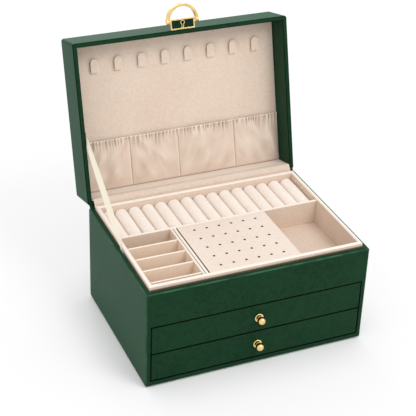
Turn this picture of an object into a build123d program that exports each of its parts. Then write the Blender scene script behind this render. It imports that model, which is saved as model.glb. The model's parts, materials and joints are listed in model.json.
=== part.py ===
from build123d import *
import math
import os

# Jewellery organizer: a wrapped case with two drawers, a velvet tray and a hinged lid.
# Millimetres. +Z is up, the drawers face -Y, and the origin is the centre of the underside.

# Case
case_width = 250.0
case_depth = 178.0
case_height = 115.0
case_board = 6.0
side_board = 5.0
bottom_board = 6.0
felt_thickness = 1.0
felt_inset = 4.0
apron_height = 40.0
edge_round = 1.6
lip_round = 0.8

# Tray
tray_board = 4.0
tray_proud = 5.0
tray_depth = 30.5
tray_floor_board = 2.0
tray_clearance = 0.6
deck_board = 4.0
rail_board = 3.0
rail_below_rim = 2.0
ring_bay_depth = 60.5
roll_count = 15
roll_gap = 0.2
roll_below_rim = 5.8
roll_crown_share = 0.92
roll_taper = 0.5
roll_end_length = 3.0
roll_end_drop = 1.6
slot_width = 56.2
slot_board = 2.5
divider_board = 2.0
divider_count = 4
divider_below_rim = 3.0
front_slot_width = 6.0
double_wall_gap = 0.8
stud_board = 3.0
stud_panel_gap = 1.4
stud_panel_width = 102.0
stud_panel_thickness = 8.0
stud_panel_clearance = 0.4
stud_ledge = 4.0
seat_gap = 0.2
stud_hole_columns = 6
stud_hole_rows = 5
stud_hole_margin_x = 15.5
stud_hole_margin_y = 11.0
stud_hole_radius = 1.1
panel_edge_round = 1.0

# Lid
lid_depth = 42.0
lid_board = 5.0
lid_open_angle = 104.5
rim_gap = 0.4
liner_thickness = 9.0
liner_clearance = 0.3
back_liner_thickness = 1.0
hook_count = 8
hook_width = 8.6
hook_length = 15.0
hook_plate = 1.8
hook_stand_off = 1.8
hook_foot = 5.0
hook_end_margin = 24.2
hook_from_top = 26.0
pocket_height = 54.5
pocket_cloth = 1.0
pocket_land = 1.5
pocket_seams = (57.0, 114.5, 183.5)
pocket_pleat_width = 6.0
elastic_height = 2.6
elastic_thickness = 1.3

# Ribbon stay
ribbon_width = 10.0
ribbon_thickness = 0.4
ribbon_case_from_back = 92.0
ribbon_tail = 18.0
ribbon_lid_reach = 83.0
ribbon_lid_depth = 9.0

# Hinges
hinge_clearance = 0.3
hinge_barrel_radius = 1.5
hinge_pin_radius = 0.75
hinge_leaf = 0.8
hinge_length = 26.0
hinge_height = 15.0
hinge_middle_knuckle = 10.0
hinge_spread = 75.0
knuckle_gap = 0.2
pin_clearance = 0.05
screw_radius = 0.8
screw_length = 4.0
screw_head_radius = 1.6
screw_head_height = 0.7
screw_spread = 8.0
screw_from_pin = 9.0

# Clasp
clasp_axis_forward = 1.7
clasp_axis_from_rim = 1.9
clasp_barrel_radius = 1.3
clasp_pin_radius = 0.6
clasp_barrel_half = 6.8
clasp_ear_width = 3.0
clasp_ear_gap = 0.2
clasp_bracket_board = 0.9
clasp_bracket_height = 9.0
plate_width = 28.0
plate_height = 11.5
plate_thickness = 1.4
plate_lap = 1.2
plate_frame = 1.4
inlay_thickness = 0.6
keyhole_radius = 1.7
keyhole_stem_width = 1.2
keyhole_stem_length = 5.0
keyhole_rim = 0.8
keyhole_floor = 0.4
ring_side_gap = 1.2
ring_band = 3.0
ring_band_depth = 6.0
ring_from_plate_top = 1.8
ring_pin_radius = 0.55
ring_edge_round = 0.5
ring_eye_proud = 0.2

# Drawers
drawer_gap = 1.2
drawer_glide = 0.3
drawer_front_board = 6.0
drawer_board = 4.0
drawer_bottom_board = 3.0
drawer_lining = 1.2
drawer_headroom = 4.7
drawer_rear_gap = 3.0
shelf_board = 3.0
shelf_setback = 1.0
rosette_radius = 5.0
rosette_thickness = 1.3
knob_neck_radius = 1.9
knob_neck_length = 1.6
knob_ball_radius = 4.1
knob_bore_depth = 5.0
knob_screw_radius = 1.5
knob_screw_clearance = 0.05
knob_screw_head_radius = 3.2
knob_screw_head_height = 1.6

# Levels and faces that several pieces share
half_width = case_width / 2
half_depth = case_depth / 2
inner_x = half_width - side_board
inner_y = half_depth - case_board
floor_level = felt_thickness + bottom_board
opening_top = case_height - apron_height
rim_level = case_height + tray_proud
tray_floor_level = rim_level - tray_depth
deck_level = tray_floor_level - tray_floor_board
tray_x = inner_x - tray_clearance
tray_y = inner_y - tray_clearance
tray_inner_x = tray_x - tray_board
tray_inner_y = tray_y - tray_board
rail_level = rim_level - rail_below_rim
rail_back_y = tray_inner_y - ring_bay_depth
rail_front_y = rail_back_y - rail_board
slot_wall_x = -tray_inner_x + slot_width
stud_wall_x = slot_wall_x + slot_board + double_wall_gap
panel_left_x = stud_wall_x + stud_board + stud_panel_gap
panel_right_x = panel_left_x + stud_panel_width
panel_seat_level = rail_level - stud_panel_thickness
touch = 0.01

# The lid is drawn closed in the lid plane, whose origin is the hinge axis:
# local -y runs from the hinge to the lid's front, local +z from the rim into the lid.
# The hinge barrel stands behind the case, clear of the soft edges of both boards.
barrel_reach = edge_round + hinge_barrel_radius + hinge_clearance
hinge_back = math.sqrt(barrel_reach**2 - (edge_round + rim_gap / 2) ** 2) - edge_round
hinge_y = half_depth + hinge_back
hinge_z = case_height + rim_gap / 2
lean = math.radians(lid_open_angle)
hinge_plane = Plane((0, hinge_y, hinge_z))
lid_plane = Plane((0, hinge_y, hinge_z), x_dir=(1, 0, 0), z_dir=(0, math.sin(lean), math.cos(lean)))
lid_back_y = -hinge_back
lid_front_y = lid_back_y - case_depth
lid_rim_z = rim_gap / 2
lid_roof_z = lid_rim_z + lid_depth
lid_ceiling_z = lid_roof_z - lid_board
lid_inner_x = half_width - lid_board
lid_inner_back_y = lid_back_y - lid_board
lid_inner_front_y = lid_front_y + lid_board
liner_face_z = lid_ceiling_z - liner_thickness
liner_x = lid_inner_x - liner_clearance
liner_front_y = lid_inner_front_y + liner_clearance
liner_back_y = lid_inner_back_y - back_liner_thickness - liner_clearance

# Clasp places in the lid plane
clasp_y = lid_front_y - clasp_axis_forward
clasp_z = lid_rim_z + clasp_axis_from_rim
plate_back_z = clasp_z - clasp_barrel_radius
plate_face_z = plate_back_z - plate_thickness
plate_low_y = clasp_y + plate_lap
plate_high_y = plate_low_y - plate_height
plate_middle_y = (plate_low_y + plate_high_y) / 2
ring_y = plate_high_y + ring_from_plate_top
ring_z = (plate_back_z + plate_face_z) / 2
plate_half = plate_width / 2
ring_inner_radius = plate_half + ring_side_gap
ring_outer_radius = ring_inner_radius + ring_band

# Drawer heights: two equal fronts share the opening
front_height = (opening_top - floor_level - 3 * drawer_gap) / 2
front_half_width = inner_x - drawer_gap
lower_front_z = floor_level + drawer_gap
upper_front_z = lower_front_z + front_height + drawer_gap
shelf_top = upper_front_z - drawer_gap / 2 + shelf_board / 2
shelf_low = shelf_top - shelf_board
front_back_y = -half_depth + drawer_front_board
drawer_rear_y = inner_y - drawer_rear_gap

os.makedirs("parts", exist_ok=True)


def block(low, high, mode=Mode.ADD):
    """A box between two corners, in the workplane of the part being built."""
    size = [b - a for a, b in zip(low, high)]
    middle = [(a + b) / 2 for a, b in zip(low, high)]
    with Locations(tuple(middle)):
        Box(*size, mode=mode)


def rod(x, y, z, radius, length, turn, mode=Mode.ADD):
    """A cylinder about a point, turned onto its axis."""
    with Locations((x, y, z)):
        Cylinder(radius, length, rotation=turn, mode=mode)


def finish(label, builder):
    """Label a finished piece and write it."""
    builder.part.label = label
    export_step(builder.part, f"parts/{label}.step")


def outer_edges(builder, plane, low, high, sides):
    """Edges of a board where two of its named outer sides meet."""
    places = {"-x": (0, low[0]), "+x": (0, high[0]), "-y": (1, low[1])}
    places.update({"+y": (1, high[1]), "-z": (2, low[2]), "+z": (2, high[2])})

    def is_outer(edge):
        centre = plane.to_local_coords(edge.center())
        values = (centre.X, centre.Y, centre.Z)
        hits = [side for side in sides.split() if abs(values[places[side][0]] - places[side][1]) < touch]
        return len(hits) > 1

    return builder.edges().filter_by(is_outer)


def wrapped_board(label, plane, low, high, sides, radius, screw_holes=()):
    """A covered board whose outer edges are soft, with any pilot holes for screws."""
    with BuildPart(plane) as board:
        block(low, high)
        fillet(outer_edges(board, plane, low, high, sides), radius)
        for x, y, z in screw_holes:
            rod(x, y, z, screw_radius + pin_clearance, 2 * screw_length, (90, 0, 0), Mode.SUBTRACT)
    finish(label, board)


def plain_board(label, low, high):
    """A square-edged board in the case's frame."""
    with BuildPart() as board:
        block(low, high)
    finish(label, board)


# Case boards
hinge_centres = (-hinge_spread, hinge_spread)
screw_places = [centre + side for centre in hinge_centres for side in (-screw_spread, screw_spread)]
case_screws = [(x, half_depth, hinge_z - screw_from_pin) for x in screw_places]
lid_screws = [(x, lid_back_y, screw_from_pin) for x in screw_places]

wrapped_board(
    "case_left",
    Plane.XY,
    (-half_width, -half_depth, felt_thickness),
    (-inner_x, half_depth, case_height),
    "-x -y +y -z +z",
    edge_round,
)
wrapped_board(
    "case_right",
    Plane.XY,
    (inner_x, -half_depth, felt_thickness),
    (half_width, half_depth, case_height),
    "+x -y +y -z +z",
    edge_round,
)
wrapped_board(
    "case_back",
    Plane.XY,
    (-inner_x, inner_y, felt_thickness),
    (inner_x, half_depth, case_height),
    "+y -z +z",
    edge_round,
    case_screws,
)
wrapped_board(
    "case_bottom",
    Plane.XY,
    (-inner_x, -half_depth, felt_thickness),
    (inner_x, inner_y, floor_level),
    "-y -z +z",
    lip_round,
)
wrapped_board(
    "front_apron",
    Plane.XY,
    (-inner_x, -half_depth, opening_top),
    (inner_x, -inner_y, case_height),
    "-y -z +z",
    edge_round,
)
plain_board(
    "base_felt",
    (-half_width + felt_inset, -half_depth + felt_inset, 0),
    (half_width - felt_inset, half_depth - felt_inset, felt_thickness),
)
plain_board(
    "tray_deck",
    (-inner_x, -inner_y, deck_level - deck_board),
    (inner_x, inner_y, deck_level),
)
plain_board(
    "drawer_shelf",
    (-inner_x, front_back_y + shelf_setback, shelf_low),
    (inner_x, inner_y, shelf_top),
)

# Tray boards
plain_board("tray_floor", (-tray_x, -tray_y, deck_level), (tray_x, tray_y, tray_floor_level))
plain_board(
    "tray_back_wall",
    (-tray_inner_x, tray_inner_y, tray_floor_level),
    (tray_inner_x, tray_y, rim_level),
)
plain_board(
    "tray_front_wall",
    (-tray_inner_x, -tray_y, tray_floor_level),
    (tray_inner_x, -tray_inner_y, rim_level),
)
plain_board(
    "tray_left_wall",
    (-tray_x, -tray_y, tray_floor_level),
    (-tray_inner_x, tray_y, rim_level),
)
plain_board(
    "tray_right_wall",
    (tray_inner_x, -tray_y, tray_floor_level),
    (tray_x, tray_y, rim_level),
)
plain_board(
    "ring_rail",
    (-tray_inner_x, rail_front_y, tray_floor_level),
    (tray_inner_x, rail_back_y, rail_level),
)
plain_board(
    "slot_wall",
    (slot_wall_x, -tray_inner_y, tray_floor_level),
    (slot_wall_x + slot_board, rail_front_y, rail_level),
)

# Slot dividers: equal slots behind one narrow slot at the front
divider_level = rim_level - divider_below_rim
divider_start_y = -tray_inner_y + front_slot_width
divider_pitch = (rail_front_y - divider_start_y) / divider_count
for index in range(divider_count):
    divider_y = divider_start_y + index * divider_pitch
    plain_board(
        f"slot_divider_{index + 1}",
        (-tray_inner_x, divider_y, tray_floor_level),
        (slot_wall_x, divider_y + divider_board, divider_level),
    )

# Walls that the stud panel lies on
with BuildPart() as stud_wall_left:
    block(
        (stud_wall_x, -tray_inner_y, tray_floor_level),
        (stud_wall_x + stud_board, rail_front_y, rail_level),
    )
    block(
        (stud_wall_x + stud_board, -tray_inner_y, tray_floor_level),
        (panel_left_x + stud_ledge, rail_front_y, panel_seat_level - seat_gap),
    )
finish("stud_wall_left", stud_wall_left)
plain_board(
    "stud_wall_right",
    (panel_right_x - stud_board, -tray_inner_y, tray_floor_level),
    (panel_right_x, rail_front_y, panel_seat_level - seat_gap),
)

# Perforated stud panel
panel_front_y = -tray_inner_y + stud_panel_clearance
panel_back_y = rail_front_y - stud_panel_clearance
panel_middle = ((panel_left_x + panel_right_x) / 2, (panel_front_y + panel_back_y) / 2)
hole_step_x = (stud_panel_width - 2 * stud_hole_margin_x) / (stud_hole_columns - 1)
hole_step_y = (panel_back_y - panel_front_y - 2 * stud_hole_margin_y) / (stud_hole_rows - 1)
with BuildPart() as stud_panel:
    block(
        (panel_left_x, panel_front_y, panel_seat_level),
        (panel_right_x, panel_back_y, rail_level),
    )
    fillet(stud_panel.faces().sort_by(Axis.Z)[-1].edges(), panel_edge_round)
    with Locations((panel_middle[0], panel_middle[1], rail_level)):
        with GridLocations(hole_step_x, hole_step_y, stud_hole_columns, stud_hole_rows):
            Hole(stud_hole_radius)
finish("stud_panel", stud_panel)

# Ring rolls: each swells to a crown, and its ends are drawn in
roll_pitch = 2 * tray_inner_x / roll_count
roll_half = roll_pitch / 2 - roll_gap / 2
roll_level = rim_level - roll_below_rim


def roll_section(x, y, half, level):
    """Outline of a roll across its length: flat foot, leaning sides and a crowned top."""
    shoulder = level - roll_crown_share * half
    foot = half - roll_taper
    with BuildSketch(Plane.XZ.offset(-y)) as section:
        with BuildLine():
            Polyline(
                (x - half, shoulder),
                (x - foot, tray_floor_level),
                (x + foot, tray_floor_level),
                (x + half, shoulder),
            )
            ThreePointArc((x + half, shoulder), (x, level), (x - half, shoulder))
        make_face()
    return section.sketch


roll_back_y = tray_inner_y - roll_gap
roll_front_y = rail_back_y + roll_gap
with BuildPart() as ring_rolls:
    for index in range(roll_count):
        roll_x = -tray_inner_x + (index + 0.5) * roll_pitch
        stations = (
            (roll_front_y, roll_end_drop),
            (roll_front_y + roll_end_length, 0),
            (roll_back_y - roll_end_length, 0),
            (roll_back_y, roll_end_drop),
        )
        sections = [roll_section(roll_x, y, roll_half - drop / 2, roll_level - drop) for y, drop in stations]
        loft(sections, ruled=True)
finish("ring_rolls", ring_rolls)

# Lid boards
wrapped_board(
    "lid_top",
    lid_plane,
    (-half_width, lid_front_y, lid_ceiling_z),
    (half_width, lid_back_y, lid_roof_z),
    "-x +x -y +y +z",
    edge_round,
)
wrapped_board(
    "lid_left",
    lid_plane,
    (-half_width, lid_front_y, lid_rim_z),
    (-lid_inner_x, lid_back_y, lid_ceiling_z),
    "-x -y +y -z",
    edge_round,
)
wrapped_board(
    "lid_right",
    lid_plane,
    (lid_inner_x, lid_front_y, lid_rim_z),
    (half_width, lid_back_y, lid_ceiling_z),
    "+x -y +y -z",
    edge_round,
)
wrapped_board(
    "lid_front",
    lid_plane,
    (-lid_inner_x, lid_front_y, lid_rim_z),
    (lid_inner_x, lid_inner_front_y, lid_ceiling_z),
    "-y -z",
    edge_round,
)
wrapped_board(
    "lid_back",
    lid_plane,
    (-lid_inner_x, lid_inner_back_y, lid_rim_z),
    (lid_inner_x, lid_back_y, lid_ceiling_z),
    "+y -z",
    edge_round,
    lid_screws,
)

# Lid lining
liner_low = (-liner_x, liner_front_y, liner_face_z)
liner_high = (liner_x, liner_back_y, lid_ceiling_z)
wrapped_board("lid_panel", lid_plane, liner_low, liner_high, "-x +x -y +y -z", panel_edge_round)
with BuildPart(lid_plane) as lid_back_liner:
    block(
        (-liner_x, lid_inner_back_y - back_liner_thickness, lid_rim_z + liner_clearance),
        (liner_x, lid_inner_back_y, lid_ceiling_z),
    )
finish("lid_back_liner", lid_back_liner)

# Necklace hooks: a foot on the liner and a tongue with a round end, open towards the lid's front
hook_pitch = (2 * liner_x - 2 * hook_end_margin) / (hook_count - 1)
hook_top_y = liner_front_y + hook_from_top - hook_length / 2
hook_low_y = hook_top_y + hook_length
tongue_face_z = liner_face_z - hook_stand_off - hook_plate
with BuildPart(lid_plane) as necklace_hooks:
    for index in range(hook_count):
        hook_x = -liner_x + hook_end_margin + index * hook_pitch
        block(
            (hook_x - hook_width / 2, hook_top_y + hook_width / 2, tongue_face_z),
            (hook_x + hook_width / 2, hook_low_y, tongue_face_z + hook_plate),
        )
        rod(
            hook_x,
            hook_top_y + hook_width / 2,
            tongue_face_z + hook_plate / 2,
            hook_width / 2,
            hook_plate,
            (0, 0, 0),
        )
        block(
            (hook_x - hook_width / 2, hook_low_y - hook_foot, tongue_face_z),
            (hook_x + hook_width / 2, hook_low_y, liner_face_z),
        )
finish("necklace_hooks", necklace_hooks)

# Gathered pocket: cloth sewn to the liner at its bottom, its ends and its seams.
# Each level gives the height above the pocket's bottom, the stand-off and the pleat depth.
pocket_bottom = -liner_back_y
pocket_levels = (
    (0.0, 0.4, 0.1),
    (0.25 * pocket_height, 3.2, 0.15),
    (0.72 * pocket_height, 4.2, 0.25),
    (0.9 * pocket_height, 3.6, 0.6),
    (pocket_height, 3.0, 0.8),
)
hem_stand_off, hem_pleat = pocket_levels[-1][1:]
pocket_ends = (-liner_x, *[seam - liner_x for seam in pocket_seams], liner_x)


def across_lid(y, z):
    """A plane across the lid, drawn in x and depth, that faces the lid's front."""
    origin = lid_plane.from_local_coords((0, y, z))
    return Plane(origin, x_dir=lid_plane.x_dir, z_dir=-lid_plane.y_dir)


def cloth_section(reach, left, right, stand_off, pleat, cloth):
    """Outline of the cloth between two seams, at a distance from the hinge."""
    count = max(3, round((right - left) / pocket_pleat_width))
    step = (right - left - 2 * pocket_land) / count
    inner = []
    for i in range(count + 1):
        lift = stand_off * math.sqrt(abs(math.sin(math.pi * i / count)))
        inner.append((left + pocket_land + i * step, liner_face_z - lift))
    outer = [(x, z - cloth) for x, z in inner]
    with BuildSketch(across_lid(-reach, 0)) as section:
        with BuildLine():
            Polyline(inner[0], (left, liner_face_z), (left, liner_face_z - cloth), outer[0])
            for (x0, z0), (x1, z1) in zip(outer, outer[1:]):
                ThreePointArc((x0, z0), ((x0 + x1) / 2, (z0 + z1) / 2 - pleat), (x1, z1))
            Polyline(outer[-1], (right, liner_face_z - cloth), (right, liner_face_z), inner[-1])
            Polyline(*reversed(inner))
        make_face()
    return section.sketch


with BuildPart() as pocket:
    for left, right in zip(pocket_ends, pocket_ends[1:]):
        sections = [
            cloth_section(pocket_bottom + height, left, right, stand_off, pleat, pocket_cloth)
            for height, stand_off, pleat in pocket_levels
        ]
        loft(sections, ruled=True)
finish("pocket", pocket)

with BuildPart() as pocket_elastic:
    for left, right in zip(pocket_ends, pocket_ends[1:]):
        hem = cloth_section(
            pocket_bottom + pocket_height,
            left,
            right,
            hem_stand_off,
            hem_pleat,
            elastic_thickness,
        )
        extrude(hem, amount=elastic_height)
finish("pocket_elastic", pocket_elastic)

# Ribbon stay: from the gap beside the tray to the inside of the lid's left board
ribbon_x = -(inner_x + tray_x) / 2 - ribbon_thickness / 2
ribbon_case_y = half_depth - ribbon_case_from_back
ribbon_lid = lid_plane.from_local_coords((0, -ribbon_lid_reach, lid_rim_z + ribbon_lid_depth))
with BuildPart() as stay_ribbon:
    with BuildSketch(Plane.YZ.offset(ribbon_x)):
        with BuildLine():
            Polyline(
                (ribbon_case_y, rim_level - ribbon_tail),
                (ribbon_case_y, rim_level),
                (ribbon_lid.Y, ribbon_lid.Z),
            )
        trace(line_width=ribbon_width)
    extrude(amount=ribbon_thickness)
finish("stay_ribbon", stay_ribbon)

# Butt hinges on the back
middle_half = hinge_middle_knuckle / 2
case_knuckles = (
    (-hinge_length / 2, -middle_half - knuckle_gap),
    (middle_half + knuckle_gap, hinge_length / 2),
)
lid_knuckles = ((-middle_half, middle_half),)


def hinge_leaves(label, plane, side, knuckles):
    """Leaves on the back face, with their knuckles about the pin; side is -1 below, 1 above."""
    near = side * (hinge_barrel_radius + knuckle_gap)
    far = side * hinge_height
    leaf_face_y = -hinge_back + hinge_leaf
    with BuildPart(plane) as leaves:
        for centre in hinge_centres:
            block(
                (centre - hinge_length / 2, -hinge_back, min(near, far)),
                (centre + hinge_length / 2, leaf_face_y, max(near, far)),
            )
            for start, end in knuckles:
                block(
                    (centre + start, -hinge_back, min(near, 0)),
                    (centre + end, leaf_face_y, max(near, 0)),
                )
                rod(
                    centre + (start + end) / 2,
                    0,
                    0,
                    hinge_barrel_radius,
                    end - start,
                    (0, 90, 0),
                )
            rod(
                centre,
                0,
                0,
                hinge_pin_radius + pin_clearance,
                hinge_length,
                (0, 90, 0),
                Mode.SUBTRACT,
            )
        for x in screw_places:
            rod(
                x,
                -hinge_back,
                side * screw_from_pin,
                screw_radius + pin_clearance,
                4 * hinge_leaf,
                (90, 0, 0),
                Mode.SUBTRACT,
            )
    finish(label, leaves)


def hinge_screws(label, plane, side):
    """Round-headed screws through the leaves into the boards."""
    leaf_face_y = -hinge_back + hinge_leaf
    with BuildPart(plane) as screws:
        for x in screw_places:
            z = side * screw_from_pin
            shank = screw_length + hinge_leaf
            rod(x, leaf_face_y - shank / 2, z, screw_radius, shank, (90, 0, 0))
            rod(
                x,
                leaf_face_y + screw_head_height / 2,
                z,
                screw_head_radius,
                screw_head_height,
                (90, 0, 0),
            )
    finish(label, screws)


hinge_leaves("hinge_case_leaves", hinge_plane, -1, case_knuckles)
hinge_leaves("hinge_lid_leaves", lid_plane, 1, lid_knuckles)
hinge_screws("hinge_case_screws", hinge_plane, -1)
hinge_screws("hinge_lid_screws", lid_plane, 1)
with BuildPart(hinge_plane) as hinge_pins:
    for centre in hinge_centres:
        rod(centre, 0, 0, hinge_pin_radius, hinge_length, (0, 90, 0))
finish("hinge_pins", hinge_pins)

# Clasp bracket on the lid's front: a plate with two ears
ear_inner = clasp_barrel_half + clasp_ear_gap
ear_outer = ear_inner + clasp_ear_width
ear_sides = ((-ear_outer, -ear_inner), (ear_inner, ear_outer))
bracket_low_z = clasp_z + clasp_barrel_radius + clasp_ear_gap
with BuildPart(lid_plane) as clasp_bracket:
    block(
        (-ear_outer, lid_front_y - clasp_bracket_board, bracket_low_z),
        (ear_outer, lid_front_y, bracket_low_z + clasp_bracket_height),
    )
    for start, end in ear_sides:
        block(
            (start, clasp_y, clasp_z - clasp_barrel_radius),
            (end, lid_front_y, clasp_z + clasp_barrel_radius),
        )
        block(
            (start, lid_front_y - clasp_bracket_board, clasp_z),
            (end, lid_front_y, bracket_low_z),
        )
        rod((start + end) / 2, clasp_y, clasp_z, clasp_barrel_radius, end - start, (0, 90, 0))
    rod(
        0,
        clasp_y,
        clasp_z,
        clasp_pin_radius + pin_clearance,
        2 * ear_outer,
        (0, 90, 0),
        Mode.SUBTRACT,
    )
finish("clasp_bracket", clasp_bracket)

with BuildPart(lid_plane) as clasp_pin:
    rod(0, clasp_y, clasp_z, clasp_pin_radius, 2 * ear_outer, (0, 90, 0))
finish("clasp_pin", clasp_pin)


def keyhole(widening):
    """Keyhole outline in the sketch being drawn, grown by the given amount."""
    with Locations((0, plate_middle_y - keyhole_radius)):
        Circle(keyhole_radius + widening)
    with Locations((0, plate_middle_y - keyhole_radius + keyhole_stem_length / 2)):
        Rectangle(keyhole_stem_width + 2 * widening, keyhole_stem_length + 2 * widening)


# Clasp plate: gilt frame with a recess for the inlay, a raised keyhole and two ring pins
inlay_size = (plate_width - 2 * plate_frame, plate_height - 2 * plate_frame)
with BuildPart(lid_plane) as clasp_plate:
    block((-plate_half, plate_high_y, plate_face_z), (plate_half, plate_low_y, plate_back_z))
    block(
        (-clasp_barrel_half, clasp_y - clasp_barrel_radius, plate_back_z),
        (clasp_barrel_half, clasp_y, clasp_z),
    )
    rod(0, clasp_y, clasp_z, clasp_barrel_radius, 2 * clasp_barrel_half, (0, 90, 0))
    rod(0, ring_y, ring_z, ring_pin_radius, 2 * ring_outer_radius, (0, 90, 0))
    with BuildSketch(lid_plane.offset(plate_face_z)):
        with Locations((0, plate_middle_y)):
            Rectangle(*inlay_size)
        keyhole(keyhole_rim)
    extrude(amount=inlay_thickness, mode=Mode.SUBTRACT)
    with BuildSketch(lid_plane.offset(plate_face_z)):
        keyhole(keyhole_rim)
    extrude(amount=inlay_thickness)
    with BuildSketch(lid_plane.offset(plate_face_z)):
        keyhole(0)
    extrude(amount=plate_thickness - keyhole_floor, mode=Mode.SUBTRACT)
    rod(
        0,
        clasp_y,
        clasp_z,
        clasp_pin_radius + pin_clearance,
        4 * clasp_barrel_half,
        (0, 90, 0),
        Mode.SUBTRACT,
    )
finish("clasp_plate", clasp_plate)

with BuildPart(lid_plane) as clasp_inlay:
    with BuildSketch(lid_plane.offset(plate_face_z)):
        with Locations((0, plate_middle_y)):
            Rectangle(*inlay_size)
        with BuildSketch(mode=Mode.SUBTRACT):
            keyhole(keyhole_rim)
    extrude(amount=inlay_thickness)
finish("clasp_inlay", clasp_inlay)

# Pull ring: an arch of rounded band with an eye at each foot, on the plate's pins
ring_foot_x = ring_outer_radius - ring_band / 2
ring_plane = across_lid(ring_y, ring_z)
with BuildPart(lid_plane) as pull_ring:
    with BuildSketch(ring_plane):
        with Locations((ring_foot_x, 0)):
            RectangleRounded(ring_band, ring_band_depth, ring_edge_round)
    revolve(axis=Axis(ring_plane.origin, -lid_plane.z_dir), revolution_arc=180)
    for side in (-1, 1):
        rod(
            side * ring_foot_x,
            ring_y,
            ring_z,
            ring_band_depth / 2 + ring_eye_proud,
            ring_band + 2 * ring_eye_proud,
            (0, 90, 0),
        )
    rod(
        0,
        ring_y,
        ring_z,
        ring_pin_radius + pin_clearance,
        3 * ring_outer_radius,
        (0, 90, 0),
        Mode.SUBTRACT,
    )
finish("pull_ring", pull_ring)


def drawer(name, slide_level, ceiling_level, front_z):
    """The pieces of one drawer that runs on a board at slide_level, under a ceiling."""
    bottom_low = slide_level + drawer_glide
    bottom_top = bottom_low + drawer_bottom_board
    side_top = ceiling_level - drawer_headroom
    side_x = front_half_width - drawer_board
    back_y = drawer_rear_y - drawer_board
    knob_z = front_z + front_height / 2
    front_low = (-front_half_width, -half_depth, front_z)
    front_high = (front_half_width, front_back_y, front_z + front_height)
    with BuildPart() as front:
        block(front_low, front_high)
        fillet(outer_edges(front, Plane.XY, front_low, front_high, "-x +x -y -z +z"), lip_round)
        rod(
            0,
            -half_depth,
            knob_z,
            knob_screw_radius + knob_screw_clearance,
            4 * drawer_front_board,
            (90, 0, 0),
            Mode.SUBTRACT,
        )
    finish(f"{name}_drawer_front", front)
    plain_board(
        f"{name}_drawer_bottom",
        (-front_half_width, front_back_y, bottom_low),
        (front_half_width, drawer_rear_y, bottom_top),
    )
    plain_board(
        f"{name}_drawer_left",
        (-front_half_width, front_back_y, bottom_top),
        (-side_x, drawer_rear_y, side_top),
    )
    plain_board(
        f"{name}_drawer_right",
        (side_x, front_back_y, bottom_top),
        (front_half_width, drawer_rear_y, side_top),
    )
    plain_board(
        f"{name}_drawer_back",
        (-side_x, back_y, bottom_top),
        (side_x, drawer_rear_y, side_top),
    )
    plain_board(
        f"{name}_drawer_lining",
        (-side_x, front_back_y, bottom_top),
        (side_x, back_y, bottom_top + drawer_lining),
    )
    neck_end = rosette_thickness + knob_neck_length
    neck_join = math.sqrt(knob_ball_radius**2 - knob_neck_radius**2)
    ball_centre = neck_end + neck_join
    with BuildPart() as knob:
        with BuildSketch(Plane.YZ):
            with BuildLine():
                Polyline(
                    (-half_depth - ball_centre - knob_ball_radius, knob_z),
                    (-half_depth, knob_z),
                    (-half_depth, knob_z + rosette_radius),
                    (-half_depth - rosette_thickness / 2, knob_z + rosette_radius),
                    (-half_depth - rosette_thickness, knob_z + rosette_radius - rosette_thickness / 2),
                    (-half_depth - rosette_thickness, knob_z + knob_neck_radius),
                    (-half_depth - neck_end, knob_z + knob_neck_radius),
                )
                ThreePointArc(
                    (-half_depth - neck_end, knob_z + knob_neck_radius),
                    (-half_depth - ball_centre, knob_z + knob_ball_radius),
                    (-half_depth - ball_centre - knob_ball_radius, knob_z),
                )
            make_face()
        revolve(axis=Axis((0, 0, knob_z), (0, 1, 0)))
        rod(
            0,
            -half_depth,
            knob_z,
            knob_screw_radius + knob_screw_clearance,
            2 * knob_bore_depth,
            (90, 0, 0),
            Mode.SUBTRACT,
        )
    finish(f"{name}_knob", knob)
    screw_start = -half_depth - knob_bore_depth + drawer_glide
    with BuildPart() as knob_screw:
        rod(
            0,
            (screw_start + front_back_y) / 2,
            knob_z,
            knob_screw_radius,
            front_back_y - screw_start,
            (90, 0, 0),
        )
        rod(
            0,
            front_back_y + knob_screw_head_height / 2,
            knob_z,
            knob_screw_head_radius,
            knob_screw_head_height,
            (90, 0, 0),
        )
    finish(f"{name}_knob_screw", knob_screw)


drawer("lower", floor_level, shelf_low, lower_front_z)
drawer("upper", shelf_top, opening_top, upper_front_z)
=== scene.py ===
"""Jewellery organizer: a leather case with two drawers, a suede tray and a hinged lid.

Shapes are drawn in millimetres, in the case's frame or in the closed lid's, and put in place in metres.
"""

import json
import math

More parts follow.
